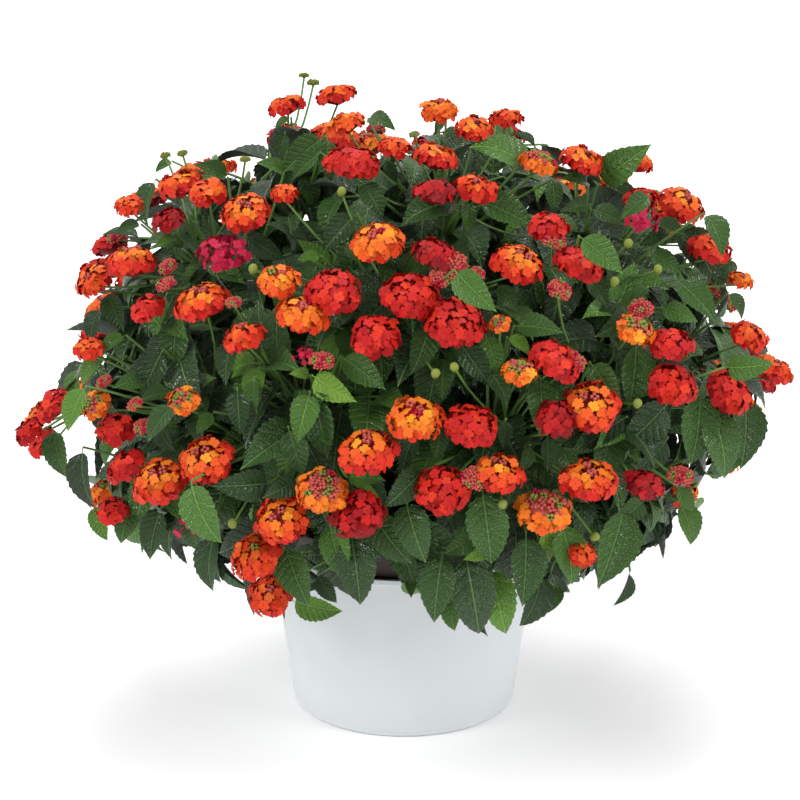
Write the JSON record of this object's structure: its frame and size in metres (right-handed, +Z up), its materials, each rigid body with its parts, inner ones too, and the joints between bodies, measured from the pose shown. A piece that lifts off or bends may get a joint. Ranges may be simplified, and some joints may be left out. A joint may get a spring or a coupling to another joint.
{
  "type": "potted lantana plant",
  "caption": "Bushy flowering plant with opposite toothed leaves and round orange-red flower heads, hanging over a plain tapered white pot.",
  "frame": {"origin": "centre of the outer pot's flat foot, on the floor", "axes": "+Z up along the pot's axis; the plant's best side faces -Y and +X is to its right as seen from there"},
  "size_m": [0.6431, 0.5879, 0.5253],
  "materials": {
    "white_plastic": "satin",
    "brown_plastic": "matte",
    "potting_mix": "matte",
    "old_wood": "matte",
    "leaf_green": "satin",
    "flower_orange": "matte",
    "flower_red": "matte",
    "flower_scarlet": "matte"
  },
  "bodies": {
    "root": {"outer_pot": "white_plastic", "grower_pot": "brown_plastic", "potting_mix": "potting_mix", "woody_stem": "old_wood", "branch_01": "leaf_green", "branch_02": "leaf_green", "branch_03": "leaf_green", "branch_04": "leaf_green", "branch_05": "leaf_green", "branch_06": "leaf_green", "branch_07": "leaf_green", "branch_08": "leaf_green", "branch_09": "leaf_green", "branch_10": "leaf_green", "branch_11": "leaf_green", "branch_12": "leaf_green", "branch_13": "leaf_green", "branch_14": "leaf_green", "branch_15": "leaf_green", "branch_16": "leaf_green", "branch_17": "leaf_green", "branch_18": "leaf_green", "branch_19": "leaf_green", "branch_20": "leaf_green", "branch_21": "leaf_green", "branch_22": "leaf_green", "branch_23": "leaf_green", "branch_24": "leaf_green", "branch_25": "leaf_green", "branch_26": "leaf_green", "branch_27": "leaf_green", "flower_spray_01": "flower_orange", "flower_spray_02": "flower_red", "flower_spray_03": "flower_scarlet", "flower_spray_04": "flower_orange", "flower_spray_05": "flower_red", "flower_spray_06": "flower_scarlet", "flower_spray_07": "flower_orange", "flower_spray_08": "flower_red", "flower_spray_09": "flower_scarlet", "flower_spray_10": "flower_orange", "flower_spray_11": "flower_red", "flower_spray_12": "flower_scarlet", "flower_spray_13": "flower_orange", "flower_spray_14": "flower_red", "flower_spray_15": "flower_scarlet", "flower_spray_16": "flower_orange", "flower_spray_17": "flower_red", "flower_spray_18": "flower_scarlet", "flower_spray_19": "flower_orange", "flower_spray_20": "flower_red", "flower_spray_21": "flower_scarlet", "flower_spray_22": "flower_orange", "flower_spray_23": "flower_red", "flower_spray_24": "flower_scarlet", "flower_spray_25": "flower_orange", "flower_spray_26": "flower_red", "flower_spray_27": "flower_scarlet"}
  },
  "joints": []
}
